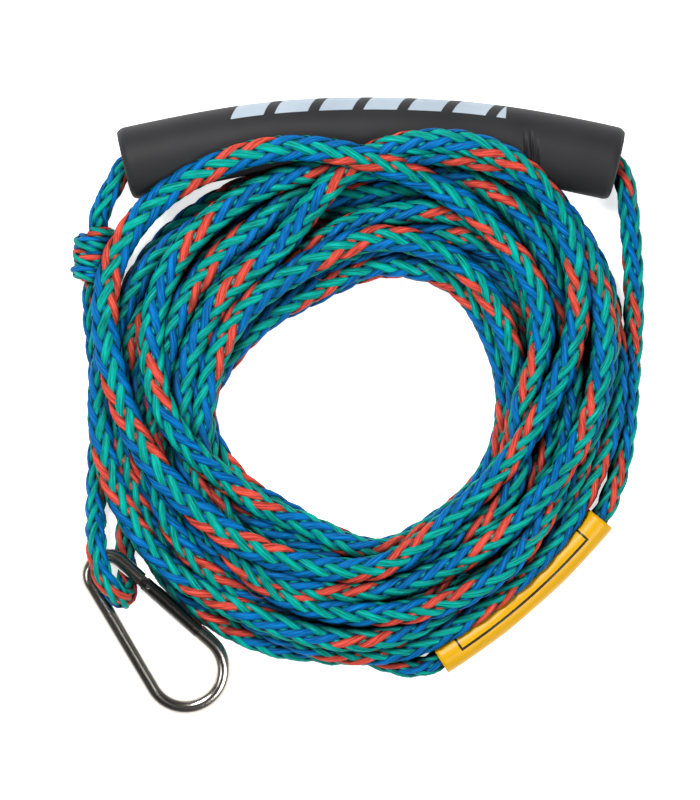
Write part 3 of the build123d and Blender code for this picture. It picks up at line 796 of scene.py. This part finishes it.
def grip_place(ring, angle):
    """A place on the foam, which waves a little, is creased and droops at its ends."""
    along, radius = ring
    if radius > MOUTH_RADIUS + 0.4 * MM:
        radius -= WAVINESS * (1 + math.sin(41 * along + 2 * angle)) * 0.5
        for at, round_at, depth in CREASES:
            off = (angle - round_at + math.pi) % (2 * math.pi) - math.pi
            lean = along / MM - at - CREASE_LEAN * off
            size = math.exp(-((lean / CREASE_HALF_WIDTH) ** 2) - (off / CREASE_HALF_ANGLE) ** 2)
            radius -= depth * MM * size
    # Towards its ends the skin is thicker on the coil's side and bows a little more than the tube in it
    near_end = min(max((abs(along) / MM - DROOP_START) / DROOP_LENGTH, 0), 1)
    near_end *= near_end * (3 - 2 * near_end)
    on_skin = min(max((radius - MOUTH_RADIUS) / MM / 3, 0), 1)
    droop = near_end * on_skin * (DROOP + THICKENING * (1 - math.cos(angle)) / 2) * MM
    return bow_place(-along / BOW_RADIUS, radius * math.cos(angle) - droop, radius * math.sin(angle))


def grip_map(ring, angle):
    """Millimetres along the grip, and the angle round it."""
    return ring[0] / MM, (angle + PRINT_SEAM) % (2 * math.pi) - PRINT_SEAM


grip = ringed("grip_skin", grip_rings(), 96, grip_place, foam_material(), grip_map)


def sleeve_rings():
    """Share of the way along the sleeve and how far inside its outer skin, out along it and back inside."""
    out = [(k / 60, 0.0) for k in range(61)]
    return [(0.0, 0.6), *out, (1.0, 0.6), *[(share, 1.0) for share, _ in reversed(out)], (0.0, 0.6)]


def sleeve_place(ring, angle):
    """A place on the sleeve, which is a little uneven between its ends."""
    share, inside = ring
    start, end = (bearing(SLEEVE_CENTRE, place) for place in (SLEEVE_TOP, SLEEVE_FOOT))
    turn = start + (end - start) * share
    wide, tall = SLEEVE_HALF_WIDTH - inside * SLEEVE_WALL, SLEEVE_HALF_HEIGHT - inside * SLEEVE_WALL
    ripple = 0.25 * MM * math.sin(9 * share + 2 * angle) * math.sin(math.pi * share)
    reach = SLEEVE_BOW_RADIUS + (wide - abs(ripple)) * math.cos(angle)
    level = SLEEVE_HALF_HEIGHT + (tall - abs(ripple)) * math.sin(angle)
    x, y = SLEEVE_CENTRE + reach * np.array([math.cos(turn), math.sin(turn)])
    return np.array([x, y, level])


def sleeve_map(ring, angle):
    """Millimetres along the sleeve, and the angle round it."""
    return ring[0] * SLEEVE_LENGTH, angle if angle < SLEEVE_SEAM else angle - 2 * math.pi


sleeve = ringed("sleeve_skin", sleeve_rings(), 72, sleeve_place, sleeve_material(), sleeve_map)

steel = steel_material("steel_polished", (0.5, 0.47, 0.42), 0.18)
# The gate's steel is given a darker colour than the frame's: painted shade for the darker reflections the
# gate shows
shaded_gate_steel = steel_material("steel_gate_shaded", (0.21, 0.2, 0.19), 0.18)
spring_steel = steel_material("steel_spring", (0.5, 0.5, 0.5), 0.25)
white_plastic = plastic_material("core_plastic", (0.60, 0.60, 0.57, 1), (0.72, 0.72, 0.70, 1), 0.4)
black_plastic = plastic_material("bush_plastic", (0.012, 0.012, 0.013, 1), (0.03, 0.03, 0.032, 1), 0.35)
node_materials = {
    "hook_frame": steel, "gate_hinge_pin": steel, "gate_latch_pin": steel, "hook_gate": shaded_gate_steel,
    "gate_plunger": spring_steel, "gate_spring": spring_steel, "grip_core_tube": white_plastic,
    "grip_bush_left": black_plastic, "grip_bush_right": black_plastic, "rope_in_grip": rope_materials[0],
}  # fmt: skip
for name, material in node_materials.items():
    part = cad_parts[name]
    part.data.materials.clear()
    part.data.materials.append(material)

# ---------------------------------------------------------------- floor and light

FLOOR_REACH = 4.0
WORLD_STRENGTH = 0.42
CEILING_START, CEILING_EDGE = 0.18, 2.4  # how steeply a direction rises where the dark ceiling begins


def floor():
    """A white floor that glows a little, so that it shows white."""
    plane = bpy.data.meshes.new("floor")
    corners = [(x * FLOOR_REACH, y * FLOOR_REACH, 0) for x, y in ((-1, -1), (1, -1), (1, 1), (-1, 1))]
    plane.from_pydata(corners, [], [(0, 1, 2, 3)])
    piece = bpy.data.objects.new("floor", plane)
    bpy.context.scene.collection.objects.link(piece)
    material, _, shader = new_material("floor_white", Base_Color=(0.9, 0.9, 0.9, 1), Roughness=0.9)
    shader.inputs["Emission Color"].default_value = (1, 1, 1, 1)
    shader.inputs["Emission Strength"].default_value = 0.7
    plane.materials.append(material)


def area_light(name, place, size, power):
    """A square light that faces the middle of the view."""
    data = bpy.data.lights.new(name, "AREA")
    data.shape, data.size, data.energy = "SQUARE", size, power
    light = bpy.data.objects.new(name, data)
    light.location = place
    light.rotation_euler = (Vector((*VIEW_CENTRE, 0)) - Vector(place)).to_track_quat("-Z", "Y").to_euler()
    bpy.context.scene.collection.objects.link(light)


def studio():
    """White walls all round and a dark ceiling overhead, which polished metal reflects."""
    floor()
    area_light("key", (-0.5, 0.55, 1.45), 0.5, 31.0)
    area_light("rim", (0.8, -0.8, 1.2), 0.6, 14.0)
    area_light("fill", (-0.9, -0.5, 1.2), 0.5, 3.0)
    world = bpy.data.worlds.new("studio")
    world.use_nodes = True
    tree = world.node_tree
    facing = node(tree, "ShaderNodeTexCoord").outputs["Generated"]
    height = node(tree, "ShaderNodeSeparateXYZ", {0: facing}).outputs[2]
    dark_top = maths(tree, "MULTIPLY", maths(tree, "SUBTRACT", height, CEILING_START), CEILING_EDGE, True)
    colour = colour_mix(tree, dark_top, (0.85, 0.86, 0.88, 1), (0.05, 0.05, 0.055, 1))
    background = next(n for n in tree.nodes if n.type == "BACKGROUND")
    tree.links.new(colour, background.inputs[0])
    background.inputs[1].default_value = WORLD_STRENGTH
    bpy.context.scene.world = world
    bpy.context.scene.view_settings.view_transform = "Standard"


studio()

# ---------------------------------------------------------------- what stands for what

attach(rope, "handle")
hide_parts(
    "rope_left_leg", "rope_left_side", "rope_coil", "rope_lead_in", "rope_in_sleeve", "rope_right_leg"
)
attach(knot, "handle")
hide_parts("barrel_knot")
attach(fibres, "handle")
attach(grip, "handle")
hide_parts("grip_foam")
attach(sleeve, "handle")
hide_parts("warning_sleeve")
